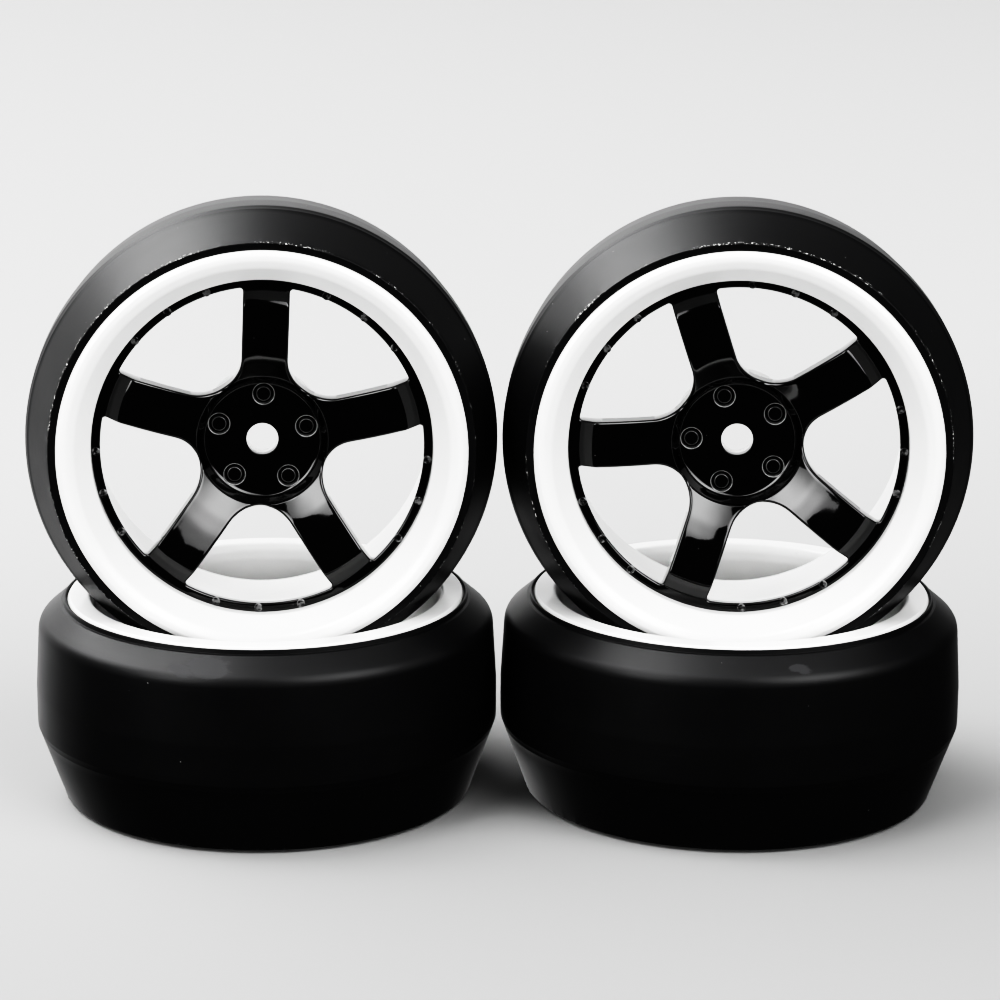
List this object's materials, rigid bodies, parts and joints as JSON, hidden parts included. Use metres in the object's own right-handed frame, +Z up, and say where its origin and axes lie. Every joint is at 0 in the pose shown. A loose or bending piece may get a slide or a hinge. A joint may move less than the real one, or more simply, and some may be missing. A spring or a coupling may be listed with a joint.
{
  "type": "drift car wheel set",
  "caption": "Model drift car wheels with hard smooth tyres, white dished rims and black spoke discs; two lie face down and each holds a standing wheel.",
  "frame": {"origin": "centre of the set on the surface it stands on", "axes": "+X along the row of wheels from left to right, +Y away from the faces of the standing wheels, +Z up"},
  "size_m": [0.1225, 0.061, 0.079],
  "materials": {
    "hard_black_plastic": "satin hard plastic, smooth, with fine scuffs",
    "white_plastic": "gloss moulded plastic",
    "gloss_black_plastic": "high gloss black"
  },
  "bodies": {
    "left_base_wheel": {"left_base_tyre": "hard_black_plastic", "left_base_rim": "white_plastic", "left_base_spoke_disc": "gloss_black_plastic", "left_base_hex_hub": "white_plastic", "left_base_lug_stud_1": "gloss_black_plastic", "left_base_lug_stud_2": "gloss_black_plastic", "left_base_lug_stud_3": "gloss_black_plastic", "left_base_lug_stud_4": "gloss_black_plastic", "left_base_lug_stud_5": "gloss_black_plastic"},
    "right_base_wheel": {"right_base_tyre": "hard_black_plastic", "right_base_rim": "white_plastic", "right_base_spoke_disc": "gloss_black_plastic", "right_base_hex_hub": "white_plastic", "right_base_lug_stud_1": "gloss_black_plastic", "right_base_lug_stud_2": "gloss_black_plastic", "right_base_lug_stud_3": "gloss_black_plastic", "right_base_lug_stud_4": "gloss_black_plastic", "right_base_lug_stud_5": "gloss_black_plastic"},
    "left_top_wheel": {"left_top_tyre": "hard_black_plastic", "left_top_rim": "white_plastic", "left_top_spoke_disc": "gloss_black_plastic", "left_top_hex_hub": "white_plastic", "left_top_lug_stud_1": "gloss_black_plastic", "left_top_lug_stud_2": "gloss_black_plastic", "left_top_lug_stud_3": "gloss_black_plastic", "left_top_lug_stud_4": "gloss_black_plastic", "left_top_lug_stud_5": "gloss_black_plastic"},
    "right_top_wheel": {"right_top_tyre": "hard_black_plastic", "right_top_rim": "white_plastic", "right_top_spoke_disc": "gloss_black_plastic", "right_top_hex_hub": "white_plastic", "right_top_lug_stud_1": "gloss_black_plastic", "right_top_lug_stud_2": "gloss_black_plastic", "right_top_lug_stud_3": "gloss_black_plastic", "right_top_lug_stud_4": "gloss_black_plastic", "right_top_lug_stud_5": "gloss_black_plastic"}
  },
  "joints": [
    {"name": "right_pair_slide", "type": "slide", "parent": "left_base_wheel", "child": "right_base_wheel", "axis": [1, 0, 0], "range_m": [0, 0.03]},
    {"name": "left_top_lift", "type": "slide", "parent": "left_base_wheel", "child": "left_top_wheel", "axis": [0, 0, 1], "range_m": [0, 0.03]},
    {"name": "right_top_lift", "type": "slide", "parent": "right_base_wheel", "child": "right_top_wheel", "axis": [0, 0, 1], "range_m": [0, 0.03]}
  ]
}
